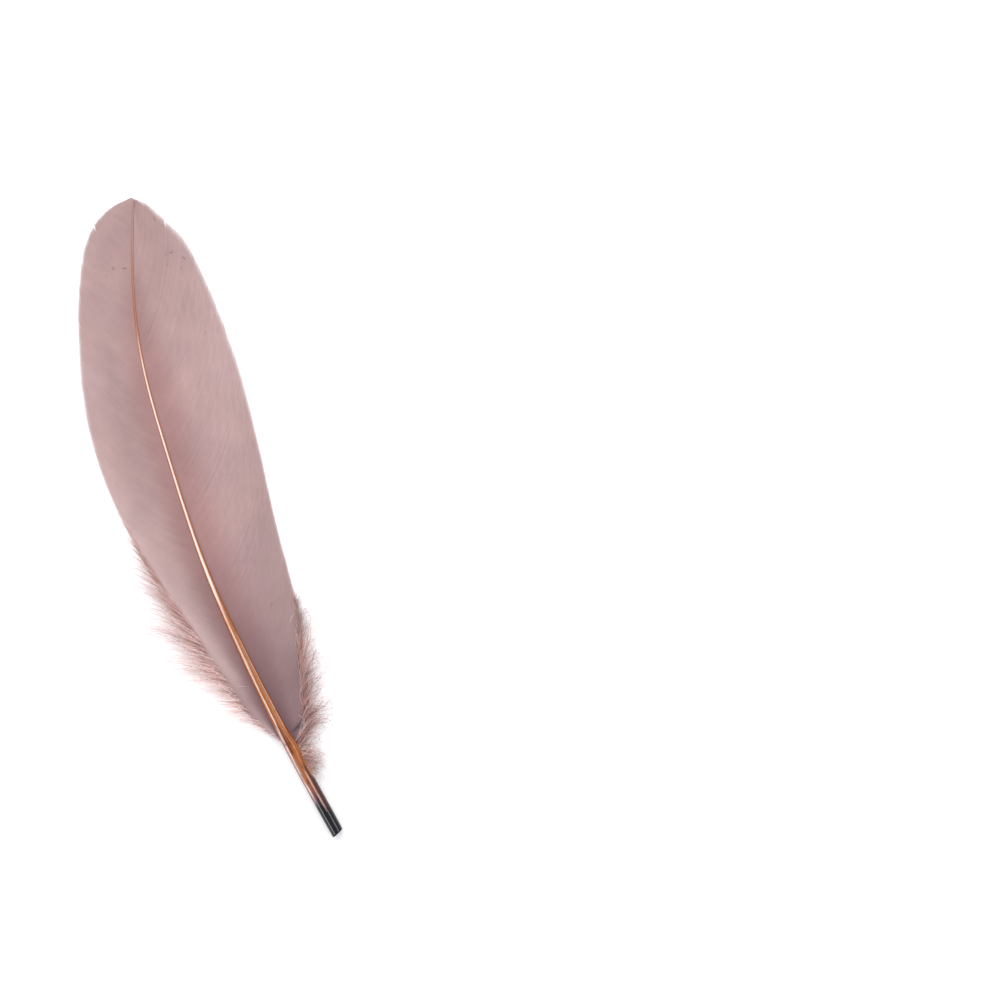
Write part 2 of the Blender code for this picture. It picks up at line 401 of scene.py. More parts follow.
class WebSettings(bpy.types.PropertyGroup):
    barbs: bpy.props.IntProperty(name="Barbs", description="Barbs on each side", default=330, min=20)
    ridge: bpy.props.FloatProperty(
        name="Ridge", description="Height of a barb's ridge above the web", default=0.04 * MM, unit="LENGTH"
    )
    keel: bpy.props.FloatProperty(
        name="Keel", description="Depth of a barb below the web at the shaft", default=0.22 * MM,
        unit="LENGTH",
    )
    overlap: bpy.props.FloatProperty(
        name="Overlap", description="Width of a barb over the spacing of the barbs", default=1.3, min=1.0
    )
    ripple: bpy.props.FloatProperty(
        name="Ripple", description="Height of the web's slow waves", default=0.1 * MM, unit="LENGTH"
    )
    colour: colour_setting("Web", "Middle of the web", "#AE8F8D")
    base: colour_setting("Base", "Lowest part of the web", "#7B6063")
    tip: colour_setting("Tip", "Top of the web", "#A58785")
    # Painted shade: the next two darker colours lie along the shaft and the quill, where shade falls beside
    # them.
    shade_beside_shaft: colour_setting("Beside the shaft", "Web along the shaft", "#997371")
    shade_beside_quill: colour_setting("Beside the quill", "Web along the lowest part of the shaft", "#664A4F")
    # Painted light: the pale colour of the thin outer edge stands in for light through the thinnest barbs.
    margin: colour_setting("Margin", "Thin outer edge of the web", "#DEC3C1")


class DownSettings(bpy.types.PropertyGroup):
    thickness: bpy.props.FloatProperty(
        name="Thickness", description="Width of a downy barb at its root", default=0.12 * MM, unit="LENGTH"
    )
    root: colour_setting("Root", "Down beside the web", "#E2BBB5")
    tips: colour_setting("Tips", "Down at its hairs' tips", "#E9DBD9")


class StageSettings(bpy.types.PropertyGroup):
    floor_size: bpy.props.FloatProperty(
        name="Floor", description="Side of the floor", default=3.0, unit="LENGTH"
    )
    floor_colour: colour_setting("Floor colour", "White card", "#FAFAFB")
    view_width: bpy.props.FloatProperty(
        name="View width", description="Width of the view at the floor", default=0.2545, unit="LENGTH"
    )
    camera_height: bpy.props.FloatProperty(
        name="Camera height", description="Height of the camera", default=1.2, unit="LENGTH"
    )
    turn: bpy.props.FloatProperty(
        name="Turn", description="Turn of the camera about the vertical", default=math.radians(-17.8),
        subtype="ANGLE",
    )
    key: bpy.props.FloatProperty(
        name="Key light", description="Strength of the broad lamp", default=1.95, min=0.0
    )
    strip: bpy.props.FloatProperty(
        name="Strip lights", description="Strength of the small lamps at the sides", default=0.65, min=0.0
    )
    fill: bpy.props.FloatProperty(
        name="Fill light", description="Strength of the surround", default=0.6, min=0.0
    )
    glow: bpy.props.FloatProperty(
        name="Glow", description="Light that comes through the card", default=0.15, min=0.0
    )


# ---------------------------------------------------------------- helpers


def add_node(tree, kind, settings=None, inputs=None):
    """Add a shader node, set its fields, and fill its inputs.

    An input takes a value, a socket to link, or a node, whose first socket in use is linked.
    """
    node = tree.nodes.new(kind)
    for field, value in (settings or {}).items():
        if field == "stops":
            while len(node.color_ramp.elements) < len(value):
                node.color_ramp.elements.new(1.0)
            for element, (position, colour) in zip(node.color_ramp.elements, value):
                element.position = position
                element.color = (*colour, 1.0)
        else:
            setattr(node, field, value)
    for name, value in (inputs or {}).items():
        socket = node.inputs[name]
        if isinstance(value, bpy.types.Node):
            value = next(output for output in value.outputs if output.enabled)
        if isinstance(value, bpy.types.NodeSocket):
            tree.links.new(value, socket)
        elif socket.type == "RGBA":
            socket.default_value = (*value, 1.0)
        else:
            socket.default_value = value
    return node


def new_material(name):
    """An empty material and its node tree."""
    material = bpy.data.materials.new(name)
    material.use_nodes = True
    material.node_tree.nodes.clear()
    return material, material.node_tree


def new_piece(name, mesh, material, replaced):
    """Link a finished mesh, hang it on the feather's body and hide the solids it replaces."""
    piece = bpy.data.objects.new(name, mesh)
    bpy.context.scene.collection.objects.link(piece)
    mesh.materials.clear()
    mesh.materials.append(material)
    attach(piece, "root")
    if replaced:
        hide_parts(*replaced)
    return piece


def mesh_from(bm, name):
    """The mesh of a finished bmesh, which is then freed."""
    mesh = bpy.data.meshes.new(name)
    bm.to_mesh(mesh)
    bm.free()
    return mesh


def placed_mesh(bm, name):
    """The mesh of a bmesh that was built in the tables' millimetres."""
    bmesh.ops.translate(bm, verts=bm.verts, vec=SHIFT)
    bmesh.ops.scale(bm, verts=bm.verts, vec=(MM, MM, MM))
    return mesh_from(bm, name)


def strand_template(sides, cuts, tip_size):
    """A closed strand of unit radius along Z from 0 to 1, its far end `tip_size` as wide."""
    bm = bmesh.new()
    bmesh.ops.create_cone(
        bm, cap_ends=True, segments=sides, radius1=1.0, radius2=tip_size, depth=1.0,
        matrix=Matrix.Translation((0.0, 0.0, 0.5)),
    )
    long_edges = [edge for edge in bm.edges if abs(edge.verts[0].co.z - edge.verts[1].co.z) > 0.5]
    bmesh.ops.subdivide_edges(bm, edges=long_edges, cuts=cuts)
    bmesh.ops.recalc_face_normals(bm, faces=bm.faces)
    return mesh_from(bm, "strand")


def repeated(template, count, name):
    """One mesh of `count` copies of the template, in order, and their points as (count, points, 3)."""
    holder = bpy.data.objects.new(name, template)
    bpy.context.scene.collection.objects.link(holder)
    array = holder.modifiers.new("copies", "ARRAY")
    array.count = count
    array.use_relative_offset = False
    array.use_constant_offset = False
    graph = bpy.context.evaluated_depsgraph_get()
    mesh = bpy.data.meshes.new_from_object(holder.evaluated_get(graph))
    bpy.data.objects.remove(holder)
    points = np.empty(len(mesh.vertices) * 3)
    mesh.vertices.foreach_get("co", points)
    return mesh, points.reshape(count, -1, 3)


def laid_strands(path, points, half_width, above, below):
    """Bend unit strands along `path`, a function of the way along (0 to 1); sizes in millimetres."""
    along = points[..., 2]
    step = 0.01
    tangent = unit(path(np.minimum(along + step, 1.0)) - path(np.maximum(along - step, 0.0)))
    side = unit(np.cross(UP, tangent) + np.array([1e-6, 0.0, 0.0]))
    upright = np.cross(tangent, side)
    lift = np.where(points[..., 1] > 0, above, below) * points[..., 1]
    return path(along) + side * (points[..., 0] * half_width)[..., None] + upright * lift[..., None]


def finish_strands(mesh, spots, attributes, corner_uv=None, sharp=60):
    """Put bent points in a mesh with its attributes and its UV map."""
    mesh.vertices.foreach_set("co", placed(spots).ravel())
    for name, values in attributes.items():
        layer = mesh.attributes.new(name, "FLOAT", "POINT")
        values = np.broadcast_to(values, spots.shape[:2])
        layer.data.foreach_set("value", np.ascontiguousarray(values, np.float32).ravel())
    if corner_uv is not None:
        corners = np.empty(len(mesh.loops), np.int32)
        mesh.loops.foreach_get("vertex_index", corners)
        layer = mesh.uv_layers.new(name="UVMap")
        layer.uv.foreach_set("vector", corner_uv.reshape(-1, 2)[corners].astype(np.float32).ravel())
    mesh.update()
    mesh.shade_smooth()
    mesh.set_sharp_from_angle(angle=math.radians(sharp))
    return mesh


def clumped(rng, count, reach):
    """Random numbers from about -1 to 1, one for each strand, that change slowly along them."""
    window = np.hanning(reach * 2 + 3)
    noise = np.convolve(rng.normal(size=count + len(window)), window, "same")[:count]
    return noise / (np.abs(noise).max() + 1e-9)


def joined(meshes, name):
    """Several meshes with the same attributes as one."""
    pieces = []
    for mesh in meshes:
        piece = bpy.data.objects.new(name, mesh)
        bpy.context.scene.collection.objects.link(piece)
        pieces.append(piece)
    with bpy.context.temp_override(
        active_object=pieces[0], object=pieces[0], selected_objects=pieces, selected_editable_objects=pieces
    ):
        bpy.ops.object.join()
    mesh = pieces[0].data
    bpy.data.objects.remove(pieces[0])
    return mesh


# ---------------------------------------------------------------- quill and shaft


def ring_matrix(y, inset):
    """The matrix that puts a unit circle round the shaft at y, `inset` inside its surface."""
    lean = math.atan2(float(read(SHAFT_SIDE, y + 1) - read(SHAFT_SIDE, y - 1)), 2)
    taper = math.sqrt(min((SHAFT_END + TIP_TAPER * TIP_OPEN - y) / TIP_TAPER, 1.0))
    half_width = (float(read(SHAFT_WIDTH, y) + knob(y)) / 2 - inset) * taper
    half_depth = (float(read(SHAFT_DEPTH, y)) / 2 - inset) * taper
    centre = Vector((float(read(SHAFT_SIDE, y) + knob(y) / 2), y, float(shaft_height(y))))
    # The cut's slant is gone a quarter of the way up the bore.
    slant = CUT_SLANT * max(1 - y / BORE_DEPTH * 4, 0.0)
    turn = Matrix.Rotation(slant - lean, 4, "Z") @ Matrix.Rotation(math.pi / 2, 4, "X")
    return Matrix.Translation(centre) @ turn @ Matrix.Diagonal((half_width, half_depth, 1.0, 1.0))


def shaft_mesh(sides, rings):
    """The quill and shaft as one lofted skin: the outside from the tip down, then up the bore."""
    outside = [(y, 0.0) for y in np.linspace(SHAFT_END, CUT_LIP * 1.5, rings)]
    lip = [(CUT_LIP * (1 - math.sin(a)), CUT_LIP * (1 - math.cos(a))) for a in (0.0, 0.5, 1.0, math.pi / 2)]
    bore = [(0.0, QUILL_WALL)] + [(BORE_DEPTH * i / 12, QUILL_WALL) for i in range(1, 13)]
    stations = outside + lip + bore
    bm = bmesh.new()
    uv = bm.loops.layers.uv.new("UVMap")
    around_of, along_of, loops = {}, {}, []
    inside_from = len(stations) - len(bore)
    for number, (y, inset) in enumerate(stations):
        matrix = ring_matrix(y, inset)
        made = bmesh.ops.create_circle(bm, segments=sides, radius=1.0, matrix=matrix)
        unturn = matrix.inverted()
        for vert in made["verts"]:
            local = unturn @ vert.co
            around = (math.atan2(local.y, local.x) / (2 * math.pi)) % 1.0
            around_of[vert] = 0.0 if around > 0.9999 else around
            along_of[vert] = -y / SHAFT_END if number >= inside_from else y / SHAFT_END
            if number < inside_from:
                under = math.exp(-(((around - UNDERNEATH) / GROOVE_WIDTH) ** 2))
                begun = float(ramp(GROOVE_FROM, GROOVE_FROM + GROOVE_RUN_IN, y))
                vert.co.z += under * (begun * float(read(SHAFT_DEPTH, y)) / 2) * GROOVE_DEPTH
        loops.append(list({edge for vert in made["verts"] for edge in vert.link_edges}))
    for before, after in zip(loops, loops[1:]):
        bmesh.ops.bridge_loops(bm, edges=before + after)
    bmesh.ops.contextual_create(bm, geom=loops[0])
    bmesh.ops.contextual_create(bm, geom=loops[-1])
    for face in bm.faces:
        turns = [around_of[loop.vert] for loop in face.loops]
        wraps = len(turns) == 4 and max(turns) - min(turns) > 0.5
        for loop, around in zip(face.loops, turns):
            around += 1.0 if wraps and around < 0.5 else 0.0
            loop[uv].uv = (around, along_of[loop.vert])
    bmesh.ops.recalc_face_normals(bm, faces=bm.faces)
    mesh = placed_mesh(bm, "quill_and_shaft")
    mesh.shade_smooth()
    mesh.set_sharp_from_angle(angle=math.radians(50))
    return mesh


# ---------------------------------------------------------------- webs


def web_point(web, along, out):
    """Points on the web, `out` (0 to 1) of the way from the shaft along the barbs ending at `along`."""
    along, out = np.broadcast_arrays(along, out)
    tip = outline(web["margin"], along)
    root_y = read(web["root"], tip[..., 1])
    width = read(SHAFT_WIDTH, root_y)
    half_width = width / 2 - BARB_SET_IN * ramp(0.0, 1.2, width)
    if web["side"] > 0:
        half_width = half_width + knob(root_y)
    root = np.stack([read(SHAFT_SIDE, root_y) + web["side"] * half_width, root_y], -1)
    reach = tip - root
    bulge = web["side"] * BARB_BOW * 4 * out * (1 - out)
    flat = root + reach * out[..., None] + np.stack([reach[..., 1], -reach[..., 0]], -1) * bulge[..., None]
    seat = shaft_height(root_y) + VANE_SEAT * read(SHAFT_DEPTH, root_y)
    lift = VANE_THICK / 2 * (1 - 0.7 * ramp(140.0, 166.0, root_y))
    height = seat * (1 - np.clip(out, 0.0, 1.0) ** VANE_ARCH) ** VANE_SETTLE + lift
    return np.concatenate([flat, height[..., None]], -1)


def even_barbs(web, count):
    """Places along the margin that space the barbs evenly, shared between their roots and their tips."""
    fine = np.linspace(0.0, 1.0, 400)
    spread = np.zeros(len(fine) - 1)
    for out in (0.0, 1.0):
        line = web_point(web, fine, out)
        spread += np.linalg.norm(np.diff(line, axis=0), axis=1)
    total = np.concatenate([[0.0], np.cumsum(spread)])
    return np.interp(np.linspace(0.0, total[-1], count), total, fine)


def unhooked(web, along, out):
    """How far the barbs at `along` are pushed aside by the splits, in millimetres towards the tip."""
    shift = np.zeros(np.broadcast(along, out).shape)
    for place, opens, closes, gap, _ in web["splits"]:
        away = along - place
        near = np.exp(-((away / SPLIT_REACH) ** 2))
        if closes < 1.0:
            middle, half = (opens + closes) / 2, (closes - opens) / 2
            width = np.clip(1 - ((out - middle) / half) ** 2, 0.0, 1.0)
        else:
            width = ramp(opens - 0.04, 1.0, out)
        shift = shift + np.where(away >= 0, 1.0, -1.0) * near * width * gap / 2
    return shift


def ripple(x, y, height):
    """Slow waves of the web's surface."""
    waves = sum(size * np.sin(x * across + y * along + phase) for across, along, phase, size in WAVES)
    return waves * height / 2


def web_mesh(web, settings, seed):
    """One web: every barb is a closed ribbon with a ridge on top and a keel underneath."""
    rng = np.random.default_rng(seed)
    count = settings.barbs
    ridge, keel, waves = settings.ridge / MM, settings.keel / MM, settings.ripple / MM
    mesh, points = repeated(strand_template(4, 13, 0.7), count, web["node"])
    places = even_barbs(web, count)
    step = np.gradient(places)[:, None]
    along = places[:, None]
    # The lowest barbs have no hooks: they are ragged and turn into down.
    ragged = ramp(RAGGED, 0.0, along)
    lift = rng.normal(scale=BARB_LIFT, size=(count, 1)) * (1 + 8 * ragged)
    short = np.abs(rng.normal(scale=BARB_SHORT, size=(count, 1))) * (1 + 14 * ragged)
    length = 1 - short + BARB_UNEVEN * clumped(rng, count, 6)[:, None]
    drift = clumped(rng, count, 5)[:, None] * (1 + 3 * ragged)

    def path(out):
        out = out * length
        spot = web_point(web, along, out)
        ahead = web_point(web, np.minimum(along + 0.004, 1.0), out)
        behind = web_point(web, np.maximum(along - 0.004, 0.0), out)
        push = unhooked(web, along, out) + drift * BARB_DRIFT * out**3
        spot = spot + unit(ahead - behind) * push[..., None]
        raised = ripple(spot[..., 0], spot[..., 1], waves) * ramp(0.0, 0.2, out)
        spot[..., 2] = np.maximum(spot[..., 2] + raised + lift * ramp(0.0, 0.15, out), LEAST_HEIGHT)
        return spot

    out = points[..., 2]
    here, there = web_point(web, along, out), web_point(web, np.clip(along + step, 0.0, 1.02), out)
    heading = unit(web_point(web, along, out + 0.02) - web_point(web, along, out - 0.02))
    apart = there - here
    apart -= heading * (apart * heading).sum(-1, keepdims=True)
    spacing = np.maximum(np.linalg.norm(apart, axis=-1), LEAST_SPACING)
    half_width = spacing * settings.overlap / 2
    half_width = half_width * (1 - 0.55 * ramp(0.965, 1.0, out)) * (1 - 0.35 * ragged * out)
    below = keel * (1 - out) ** 1.5 + LEAST_KEEL
    spots = laid_strands(path, points, half_width, ridge * (1 - 0.5 * out), below)
    tone = rng.normal(scale=0.5, size=(count, 1)) + clumped(rng, count, 2)[:, None]
    # Painted shade: the barbs beside a split are darkened, standing in for the shade inside the slit.
    for place, opens, _, _, slit_shade in web["splits"]:
        tone = tone - slit_shade * np.exp(-(((along - place) / SPLIT_SHADE) ** 2)) * ramp(opens, opens + 0.4, out)
    for y, part, lighter in web["clouds"]:
        away = ((spots[..., 1] - y) / CLOUD_ALONG) ** 2 + ((out - part) / CLOUD_OUT) ** 2
        tone = tone + lighter * np.exp(-away)
    level = outline(web["margin"], along)[..., 1]
    # Painted light: how much the outer web is made paler where light comes through its thin barbs.
    pale = read(web["pale"], level) * ramp(web["edge_light_from"], read(web["edge_light_full"], level), out)
    across = along + np.where(points[..., 0] > 0, 0.5, -0.5) * step * np.abs(points[..., 0])
    corner_uv = np.stack([out, np.broadcast_to(across, out.shape)], -1)
    return finish_strands(mesh, spots, {"tone": tone, "pale": pale}, corner_uv)


def web_height(web, places):
    """Heights of the middle of a web at or beside places seen from above."""
    along, out = np.linspace(0.0, 1.0, 160)[:, None], np.linspace(0.0, 1.0, 40)[None, :]
    fine = web_point(web, along, out).reshape(-1, 3)
    near = np.hypot(fine[:, 0] - places[:, :1], fine[:, 1] - places[:, 1:2]).argmin(axis=1)
    return fine[near, 2]


def web_at(x, y):
    """The web on whose side of the shaft a place lies."""
    return NARROW if x < float(read(SHAFT_SIDE, y)) else WIDE


def fleck_mesh():
    """Flat specks of dust that lie on the webs."""
    bm = bmesh.new()
    for x, y, length, width, angle in FLECKS:
        height = web_height(web_at(x, y), np.array([[x, y]]))[0]
        matrix = Matrix.Translation((x, y, height + FLECK_LIFT))
        matrix = matrix @ Matrix.Rotation(math.radians(angle), 4, "Z")
        matrix = matrix @ Matrix.Diagonal((length / 2, width / 2, FLECK_THICK / 2, 1.0))
        made = bmesh.ops.create_icosphere(bm, subdivisions=2, radius=1.0, matrix=matrix)
        for vert in made["verts"]:
            vert.co.y += 0.08 * math.sin(vert.co.x * 9)
    mesh = placed_mesh(bm, "dust_flecks")
    mesh.shade_smooth()
    return mesh


# ---------------------------------------------------------------- down


def hair_lines(rng, side, start, leans, length, wander, loft):
    """Hairs as lines of points: they leave `start`, bend from one lean to the other and wander.

    Leans and wander are in radians, and `start`, `length` and `loft` in millimetres.
    """
    s = np.linspace(0.0, 1.0, HAIR_STEPS)
    lean = leans[0] + (leans[1] - leans[0]) * s
    for waves in (1, 2, 3):
        turns = waves * rng.uniform(0.3, 0.8, length.shape)
        phase = rng.uniform(0.0, 2 * math.pi, length.shape)
        lean = lean + wander / waves * s * np.sin(2 * math.pi * turns * s + phase)
    step = length / (HAIR_STEPS - 1)
    lines = np.cumsum(np.stack([side * np.sin(lean) * step, np.cos(lean) * step, lean * 0], -1), axis=1)
    lines += start[:, None] - lines[:, :1]
    lines[..., 2] += loft[0] * 4 * s * (1 - s) + (loft[1] - start[:, 2:]) * s
    return lines


def locked(lines, pull):
    """The lines with each lock's tips drawn together."""
    tips = lines[:, -1]
    middle = tips.reshape(-1, LOCK, 3).mean(axis=1).repeat(LOCK, axis=0)
    s = np.linspace(0.0, 1.0, HAIR_STEPS)[None, :, None]
    return lines + (middle - tips)[:, None] * pull * s**2


def along_lines(lines, s):
    """Points at the parts `s` (0 to 1) of the way along each line."""
    place = np.clip(s, 0.0, 1.0) * (lines.shape[1] - 1)
    first = np.minimum(place.astype(int), lines.shape[1] - 2)
    part = (place - first)[..., None]
    rows = np.arange(len(lines))[:, None]
    spot = lines[rows, first] * (1 - part) + lines[rows, first + 1] * part
    spot[..., 2] = np.maximum(spot[..., 2], HAIR_FLOOR)
    return spot


def barbule_lines(rng, lines, each, length, spread):
    """Side hairs all round every hair, which bend towards its tip, and how far out each starts.

    `length` is in millimetres, and `spread` holds the least and the greatest angle to the hair.
    """
    owner = np.repeat(np.arange(len(lines)), each)
    total = len(owner)
    at = (np.tile(np.arange(each), len(lines))[:, None] + rng.uniform(0.0, 1.0, (total, 1))) / each
    at = 0.02 + 0.94 * at**1.6
    root = along_lines(lines[owner], at)[:, 0]
    ahead = unit(along_lines(lines[owner], at + 0.04)[:, 0] - root)
    side = unit(np.cross(UP, ahead))
    roll = rng.uniform(0.0, 2 * math.pi, (total, 1))
    around = side * np.cos(roll) + np.cross(ahead, side) * np.sin(roll)
    spread = np.radians(rng.uniform(*spread, (total, 1)))
    size = length * rng.uniform(0.4, 1.0, (total, 1)) * (1 - 0.65 * at)
    s = np.linspace(0.0, 1.0, 4)[None, :, None]
    direction = (ahead * np.cos(spread) + around * np.sin(spread))[:, None]
    return root[:, None] + (direction * s + ahead[:, None] * 0.3 * s**2) * size[..., None], owner, at


def strand_mesh(lines, width, tone, out, sides, cuts, name):
    """Tapered closed strands along lines of points, `out` holding where each starts and ends."""
    mesh, points = repeated(strand_template(sides, cuts, 0.3), len(lines), name)
    s = points[..., 2]
    sizes = width / 2 * (1 - 0.5 * s) * (0.35 + 0.65 * ramp(0.0, 0.08, s))
    spots = laid_strands(lambda part: along_lines(lines, part), points, sizes, sizes, sizes)
    return finish_strands(mesh, spots, {"tone": tone, "out": out[0] + (out[1] - out[0]) * s})


def down_mesh(down, settings, seed):
    """The loose down of one side: long hairs in locks, each with short side hairs all round."""
    rng = np.random.default_rng(seed)
    web = NARROW if down["side"] < 0 else WIDE
    locks = down["locks"]
    count = locks * LOCK
    even = (np.arange(locks) + rng.uniform(0.0, 1.0, locks)) / locks
    first, last = down["crowding"]
    spread = ((1 - (1 - even) ** (1 / last)) ** (1 / first)).repeat(LOCK) + rng.normal(0.0, 0.015, count)
    edge = outline(down["edge"], np.clip(spread, 0.0, 1.0))
    y = edge[:, 1]
    edge[:, 0] -= down["side"] * (read(down["inset"], y) * rng.uniform(0.0, 1.0, count) ** 1.6 - 0.2)
    start = np.concatenate([edge, web_height(web, edge)[:, None] + rng.uniform(0.0, 0.3, (count, 1))], -1)
    scatter = rng.normal(0.0, 0.7, locks).repeat(LOCK) + rng.normal(0.0, 0.7, count)
    lean = np.radians(read(down["lean"], y) + read(down["scatter"], y) * scatter)[:, None]
    leaves = read(down["leaves"], y) * rng.uniform(0.7, 1.2, locks).repeat(LOCK)
    full = rng.uniform(0.75, 1.0, locks).repeat(LOCK) * (
        SHORTEST_HAIR + (1 - SHORTEST_HAIR) * rng.uniform(0.0, 1.0, count) ** down["shortness"]
    )
    # The longest hairs stand out more from the web than the dense short ones.
    leaves = leaves * (1 + down["fan"] * ramp(0.4, 0.8, full))
    length = (read(down["length"], y) * full)[:, None]
    loft = (rng.uniform(0.1, 1.4, count)[:, None] * length / 12, rng.uniform(0.1, 1.1, count)[:, None])
    leans = (lean * leaves[:, None], lean)
    lines = hair_lines(rng, down["side"], start, leans, length, read(down["wander"], y)[:, None], loft)
    lines = locked(lines, down["pull"])
    tone = rng.normal(0.0, 0.8, locks).repeat(LOCK) + rng.normal(0.0, 1.5, count)
    tone = (tone + read(down["shade"], y))[:, None]
    width = settings.thickness / MM
    hairs = strand_mesh(lines, width, tone, (0.0, 1.0), 3, 8, down["node"])
    side_lines, owner, at = barbule_lines(
        rng, lines, down["barbules"], down["barbule_length"], down["barbule_spread"]
    )
    side_width = width * SIDE_HAIR_WIDTH
    fluff = strand_mesh(side_lines, side_width, tone[owner], (at, at + 0.15), 3, 1, down["node"])
    return joined([hairs, fluff], down["node"])


def stray_mesh(settings):
    """Single hairs that lie across the webs or hang off the quill."""
    meshes = []
    for corners, tone in STRAYS:
        points = outline(corners, np.linspace(0.0, 1.0, HAIR_STEPS))
        heights = web_height(web_at(*points[0]), points) + STRAY_LIFT
        line = np.concatenate([points, heights[:, None]], -1)[None]
        meshes.append(strand_mesh(line, settings.thickness / MM, tone, (0.2, 0.7), 3, 20, "stray_hairs"))
    return joined(meshes, "stray_hairs")


# ---------------------------------------------------------------- materials


def horn_material(shaft):
    """Dyed keratin horn of a quill: smooth, hard and a little translucent, so it shows crisp highlights,
    with more highlights and a shaded bore painted into its colour.
    """
    material, tree = new_material("dyed_quill_horn")
    uv = add_node(tree, "ShaderNodeUVMap", {"uv_map": "UVMap"})
    split = add_node(tree, "ShaderNodeSeparateXYZ", None, {"Vector": uv})
    along = split.outputs["Y"]
    turn = split.outputs["X"]
    angle = add_node(tree, "ShaderNodeMath", {"operation": "MULTIPLY"}, {0: turn, 1: 2 * math.pi})
    across = add_node(tree, "ShaderNodeMath", {"operation": "COSINE"}, {0: angle})
    upright = add_node(tree, "ShaderNodeMath", {"operation": "SINE"}, {0: angle})
    # Round the shaft and along it in millimetres, as on a quill 3.3 mm across.
    ring = add_node(tree, "ShaderNodeCombineXYZ", None, {"X": across, "Y": along, "Z": upright})
    shell = add_node(
        tree, "ShaderNodeMapping", None, {"Vector": ring, "Scale": (QUILL_RADIUS, SHAFT_END, QUILL_RADIUS)}
    )
    # Grain runs along the shaft in streaks 0.25 mm by 10 mm, and the dye in clouds 1.5 mm by 4 mm.
    fibres = add_node(
        tree, "ShaderNodeMapping", None, {"Vector": shell, "Scale": (1 / 0.25, 1 / 10, 1 / 0.25)}
    )
    grain = add_node(
        tree, "ShaderNodeTexNoise", None, {"Vector": fibres, "Scale": 1.0, "Detail": 4.0, "Roughness": 0.6}
    )
    patches = add_node(
        tree, "ShaderNodeMapping", None, {"Vector": shell, "Scale": (1 / 1.5, 1 / 4, 1 / 1.5)}
    )
    cloud = add_node(
        tree, "ShaderNodeTexNoise", None, {"Vector": patches, "Scale": 1.0, "Detail": 4.0, "Roughness": 0.65}
    )
    # The place along, in millimetres, made ragged by the clouds (7 mm) and the grain (4 mm),
    # with their means taken off.
    raw = add_node(tree, "ShaderNodeMath", {"operation": "MULTIPLY"}, {0: along, 1: SHAFT_END})
    rough = add_node(tree, "ShaderNodeMath", {"operation": "MULTIPLY_ADD"}, {0: cloud, 1: 7.0, 2: raw})
    rough = add_node(tree, "ShaderNodeMath", {"operation": "MULTIPLY_ADD"}, {0: grain, 1: 4.0, 2: rough})
    place = add_node(tree, "ShaderNodeMath", {"operation": "SUBTRACT"}, {0: rough, 1: 5.5})
    part = add_node(tree, "ShaderNodeMath", {"operation": "DIVIDE"}, {0: place, 1: SHAFT_END})
    stops = (
        (0.0, shaft.cut_end[:]),
        (0.05, shaft.cut_end[:]),
        (0.06, linear("#5B3A40")),
        (0.072, linear("#8A5240")),
        (0.1, shaft.horn[:]),
        (0.36, shaft.horn[:]),
        (0.5, shaft.flank[:]),
        (0.84, linear("#AE7056")),
        (0.9, linear("#AC7C6A")),
        (0.97, shaft.tip[:]),
    )
    body = add_node(tree, "ShaderNodeValToRGB", {"stops": stops}, {"Fac": part})
    # Wobble keeps the streaks' edges from being ruled lines.
    wobble = add_node(tree, "ShaderNodeMath", {"operation": "MULTIPLY_ADD"}, {0: cloud, 1: 0.3, 2: across})
    swayed = add_node(tree, "ShaderNodeMath", {"operation": "SUBTRACT"}, {0: wobble, 1: 0.15})
    # Each streak or painted highlight is full over the middle third of its width, and fades
    # over some 2 to 12 mm at both its ends.
    for middle, half, low, high, strength, code in HORN_STREAKS_AND_HIGHLIGHTS:
        away = add_node(tree, "ShaderNodeMath", {"operation": "SUBTRACT"}, {0: swayed, 1: middle})
        away = add_node(tree, "ShaderNodeMath", {"operation": "ABSOLUTE"}, {0: away})
        beside = add_node(
            tree, "ShaderNodeMapRange", {"interpolation_type": "SMOOTHSTEP"},
            {"Value": away, "From Min": half, "From Max": half * 0.35, "To Max": strength},
        )
        for end, full in ((low, low + 1 + high * 0.06), (high, high * 0.92 - 1)):
            within = add_node(
                tree, "ShaderNodeMapRange", {"interpolation_type": "SMOOTHSTEP"},
                {"Value": place, "From Min": end, "From Max": full},
            )
            beside = add_node(tree, "ShaderNodeMath", {"operation": "MULTIPLY"}, {0: beside, 1: within})
        body = add_node(tree, "ShaderNodeMix", {"data_type": "RGBA"}, {0: beside, 6: body, 7: linear(code)})
    shade = add_node(
        tree, "ShaderNodeMapRange", None, {"Value": grain, "From Min": 0.3, "From Max": 0.7, "To Max": 0.3}
    )
    body = add_node(
        tree, "ShaderNodeMix", {"data_type": "RGBA", "blend_type": "MULTIPLY"},
        {0: shade, 6: body, 7: linear("#A87A66")},
    )
    blotch = add_node(
        tree, "ShaderNodeMapRange", {"interpolation_type": "SMOOTHSTEP"},
        {"Value": cloud, "From Min": 0.5, "From Max": 0.68, "To Max": 0.75},
    )
    low = add_node(tree, "ShaderNodeMapRange", None, {"Value": place, "From Min": 60.0, "From Max": 35.0})
    blotch = add_node(tree, "ShaderNodeMath", {"operation": "MULTIPLY"}, {0: blotch, 1: low})
    body = add_node(
        tree, "ShaderNodeMix", {"data_type": "RGBA", "blend_type": "MULTIPLY"},
        {0: blotch, 6: body, 7: linear("#B08068")},
    )
